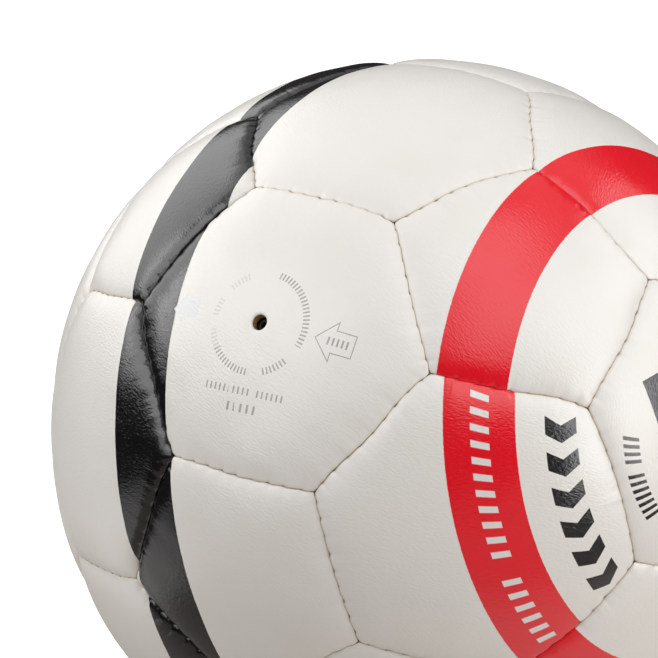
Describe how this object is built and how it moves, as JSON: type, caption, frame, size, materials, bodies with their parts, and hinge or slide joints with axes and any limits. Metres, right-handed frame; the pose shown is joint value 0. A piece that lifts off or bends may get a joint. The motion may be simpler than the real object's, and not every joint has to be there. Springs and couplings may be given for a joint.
{
  "type": "soccer ball",
  "caption": "Hand-stitched low-bounce futsal ball: laminated panels stitched over a bladder with a damping lining, with a valve whose core pulls out.",
  "frame": {"origin": "the ball's centre", "axes": "+X is the axis of the printed rings, through the middle of a hexagon; +Z is a two-fold axis of the panel pattern, through the middle of a seam between two hexagons; the valve is 3.2 mm off the middle of the hexagon at (1/3, -sqrt(5)/3, 1/sqrt(3))"},
  "size_m": [0.1974, 0.1974, 0.1958],
  "materials": {
    "cover": "satin",
    "thread": "matte",
    "bladder": "satin",
    "valve_rubber": "satin",
    "valve_core": "satin",
    "lining": "matte",
    "patch": "matte"
  },
  "bodies": {
    "ball": {"valve_panel": "cover", "hexagon_panel_01": "cover", "hexagon_panel_02": "cover", "hexagon_panel_03": "cover", "hexagon_panel_04": "cover", "hexagon_panel_05": "cover", "hexagon_panel_06": "cover", "hexagon_panel_07": "cover", "hexagon_panel_08": "cover", "hexagon_panel_09": "cover", "hexagon_panel_10": "cover", "hexagon_panel_11": "cover", "hexagon_panel_12": "cover", "hexagon_panel_13": "cover", "hexagon_panel_14": "cover", "hexagon_panel_15": "cover", "hexagon_panel_16": "cover", "hexagon_panel_17": "cover", "hexagon_panel_18": "cover", "hexagon_panel_19": "cover", "pentagon_panel_01": "cover", "pentagon_panel_02": "cover", "pentagon_panel_03": "cover", "pentagon_panel_04": "cover", "pentagon_panel_05": "cover", "pentagon_panel_06": "cover", "pentagon_panel_07": "cover", "pentagon_panel_08": "cover", "pentagon_panel_09": "cover", "pentagon_panel_10": "cover", "pentagon_panel_11": "cover", "pentagon_panel_12": "cover", "first_half_thread": "thread", "second_half_thread": "thread", "joining_thread": "thread", "bladder": "bladder", "damping_lining": "lining", "valve_housing": "valve_rubber", "valve_patch": "patch", "balance_patch": "valve_rubber"},
    "valve_core": {"valve_core": "valve_core"}
  },
  "joints": [
    {"name": "valve_core_pull", "type": "slide", "parent": "ball", "child": "valve_core", "axis": [0.3064, -0.7431, 0.5949], "range_m": [0, 0.03]}
  ]
}
